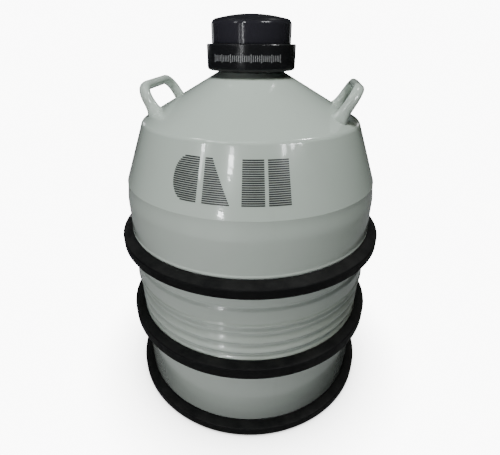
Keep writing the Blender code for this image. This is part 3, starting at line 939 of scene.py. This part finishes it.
def window(name, azimuth, low, high, width, radiance):
    """One window pane from height low to high, for the gloss paint and the cap to mirror."""
    energy = radiance * math.pi * (high - low) * width
    height = (low + high) / 2
    place = around(azimuth, WINDOW_DISTANCE, height)
    area_light(name, energy, (width, high - low), place, (0, 0, height - 0.1), DAYLIGHT, True)


def ceiling_lamp(name, azimuth, radiance):
    """A small lamp high above, which draws a short dash along the knuckle."""
    energy = radiance * math.pi * LAMP_SIZE[0] * LAMP_SIZE[1]
    place = around(azimuth, LAMP_DISTANCE, LAMP_HEIGHT)
    area_light(name, energy, LAMP_SIZE, place, (0, 0, 0.54), WHITE, True)


def lights():
    """Softboxes for the surfaces, and windows and lamps for the gloss to mirror."""
    for name, energy, size, azimuth, distance, height, target_height, colour in SOFTBOXES:
        place = around(azimuth, distance, height)
        area_light(name, energy, size, place, (0, 0, target_height), colour, False)
    for pane in WINDOWS:
        window(*pane)
    for number, (azimuth, radiance) in enumerate(CEILING_LAMPS):
        ceiling_lamp(f"ceiling_lamp_{number + 1}", azimuth, radiance)


def by_ray(tree, socket, seen, otherwise):
    """Feeds one value to the camera and another to every other ray."""
    ray = tree.nodes.new("ShaderNodeLightPath")
    mix = tree.nodes.new("ShaderNodeMixShader")
    tree.links.new(ray.outputs["Is Camera Ray"], mix.inputs[0])
    tree.links.new(otherwise, mix.inputs[1])
    tree.links.new(seen, mix.inputs[2])
    tree.links.new(mix.outputs[0], socket)


def world():
    """White behind the object. Its surfaces see a dim room, brighter above and in what gloss mirrors."""
    sky = bpy.data.worlds.new("studio")
    sky.use_nodes = True
    tree = sky.node_tree
    room = tree.nodes["Background"]
    white = tree.nodes.new("ShaderNodeBackground")
    white.inputs["Color"].default_value = (1, 1, 1, 1)
    white.inputs["Strength"].default_value = BACKDROP
    coordinates = tree.nodes.new("ShaderNodeTexCoord")
    split = tree.nodes.new("ShaderNodeSeparateXYZ")
    tree.links.new(coordinates.outputs["Generated"], split.inputs[0])
    below, above = (0.012, 0.012, 0.013), (0.13, 0.136, 0.13)
    bluish_left, greenish_right = (0.7, 0.76, 0.82), (0.4, 0.48, 0.32)
    matt_share = 0.12  # how much of the room's light reaches what is not gloss
    upward = gradient(tree, split.outputs["Z"], below, above, -0.2, 0.95)
    sideways = gradient(tree, split.outputs["X"], bluish_left, greenish_right, -0.8, 0.8)
    tint = tree.nodes.new("ShaderNodeMix")
    tint.data_type = "RGBA"
    tint.blend_type = "MULTIPLY"
    tint.inputs[0].default_value = 1
    tree.links.new(upward, tint.inputs[6])
    tree.links.new(sideways, tint.inputs[7])
    tree.links.new(tint.outputs[2], room.inputs["Color"])
    ray = tree.nodes.new("ShaderNodeLightPath")
    strength = tree.nodes.new("ShaderNodeMapRange")
    strength.inputs["To Min"].default_value = matt_share
    tree.links.new(ray.outputs["Is Glossy Ray"], strength.inputs["Value"])
    tree.links.new(strength.outputs[0], room.inputs["Strength"])
    by_ray(tree, tree.nodes["World Output"].inputs[0], white.outputs[0], room.outputs[0])
    bpy.context.scene.world = sky


def gradient(tree, value, first, last, low, high):
    """A colour that runs from first to last as value goes from low to high."""
    spread = tree.nodes.new("ShaderNodeMapRange")
    spread.inputs["From Min"].default_value = low
    spread.inputs["From Max"].default_value = high
    mix = tree.nodes.new("ShaderNodeMix")
    mix.data_type = "RGBA"
    mix.inputs[6].default_value = (*first, 1)
    mix.inputs[7].default_value = (*last, 1)
    tree.links.new(value, spread.inputs["Value"])
    tree.links.new(spread.outputs[0], mix.inputs[0])
    return mix.outputs[2]


def floor():
    """A plain pale floor that the camera sees as an even white glow, with a painted shadow where the vessel
    stands, where ambient occlusion dims the glow.
    """
    look = Look("pale_floor")
    tone = look.mix(look.noise(1.5, 3), (0.2, 0.2, 0.2), (0.24, 0.24, 0.24))
    look.set(Base_Color=tone, Roughness=0.85, IOR=1.2)
    # painted shadow: ambient occlusion darkens the floor's glow round the foot of the vessel
    shade = look.node("ShaderNodeAmbientOcclusion", {"Distance": 0.16}, samples=16)
    glow_with_painted_shadow = look.math("MULTIPLY", look.math("POWER", shade.outputs["AO"], 1.8), BACKDROP)
    bright = look.node("ShaderNodeEmission", {"Color": (1.0, 1.0, 0.995), "Strength": glow_with_painted_shadow})
    surface = look.tree.nodes["Material Output"].inputs["Surface"]
    by_ray(look.tree, surface, bright.outputs[0], look.shader.outputs[0])
    shape = bmesh.new()
    bmesh.ops.create_grid(shape, x_segments=2, y_segments=2, size=12)
    piece = mesh_piece("floor", shape, look.material)


def camera():
    """The viewpoint: in front and a little to the right, at the height of the cap, tilted down."""
    distance, height = 0.654, 0.658
    pitch, yaw, roll = 0.483, -0.0007, 0.0062
    lens = bpy.data.cameras.new("camera")
    lens.sensor_width = 36
    lens.lens = 25.32
    viewer = bpy.data.objects.new("camera", lens)
    turn = Matrix.Rotation(math.radians(CAMERA_AZIMUTH), 3, "Z")
    forward = Vector((math.sin(yaw) * math.cos(pitch), math.cos(yaw) * math.cos(pitch), -math.sin(pitch)))
    right = Vector((math.cos(yaw), -math.sin(yaw), 0))
    up = right.cross(forward)
    rolled_right = right * math.cos(roll) + up * math.sin(roll)
    rolled_up = up * math.cos(roll) - right * math.sin(roll)
    axes = Matrix((rolled_right, rolled_up, -forward)).transposed()
    viewer.matrix_world = (turn @ axes).to_4x4()
    viewer.location = turn @ Vector((0, -distance, height))
    bpy.context.scene.collection.objects.link(viewer)
    bpy.context.scene.camera = viewer


# ---------------------------------------------------------------- the object

shoulder()
side_wall()
for ring_name in ("bumper_ring_upper", "bumper_ring_middle", "bumper_ring_lower"):
    bumper_ring(ring_name)
handle("handle_left", -1, 5.0)
handle("handle_right", 1, 0.0)
collar()
front_marking()
collar_marking()
cap()
turned_node("plug_core", "neck_plug", "cap", "white_foam", FOAM, 1.5)
index_ring()
for canister_number in range(1, 7):
    canister_set(canister_number)

HIDDEN = [
    ("outer_base", "grey_paint", PAINT),
    ("neck_flange", "bare_aluminium", ALUMINIUM),
    ("neck_tube", "glass_fibre", FIBRE),
    ("inner_neck_collar", "bare_aluminium", ALUMINIUM),
    ("inner_vessel_top", "bare_aluminium", ALUMINIUM),
    ("inner_vessel_body", "bare_aluminium", ALUMINIUM),
    ("insulation_wrap", "foil_wrap", FOIL),
    ("insulation_top", "foil_wrap", FOIL),
    ("insulation_base", "foil_wrap", FOIL),
    ("adsorbent_tray", "bare_aluminium", ALUMINIUM),
    ("vacuum_port", "bare_aluminium", ALUMINIUM),
    ("vacuum_plug", "bare_aluminium", ALUMINIUM),
    ("vacuum_plug_seal", "black_rubber", RUBBER),
    ("vacuum_port_cover", "black_plastic", GLOSS),
]
for node_name, slot_name, node_material in HIDDEN:
    turned_node(node_name + "_turned", node_name, "vessel", slot_name, node_material)

# The locator plate is shown with its own CAD mesh.
locator = NODES["canister_locator"]
locator.data.materials.clear()
locator.data.materials.append(ALUMINIUM)

world()
lights()
floor()
camera()
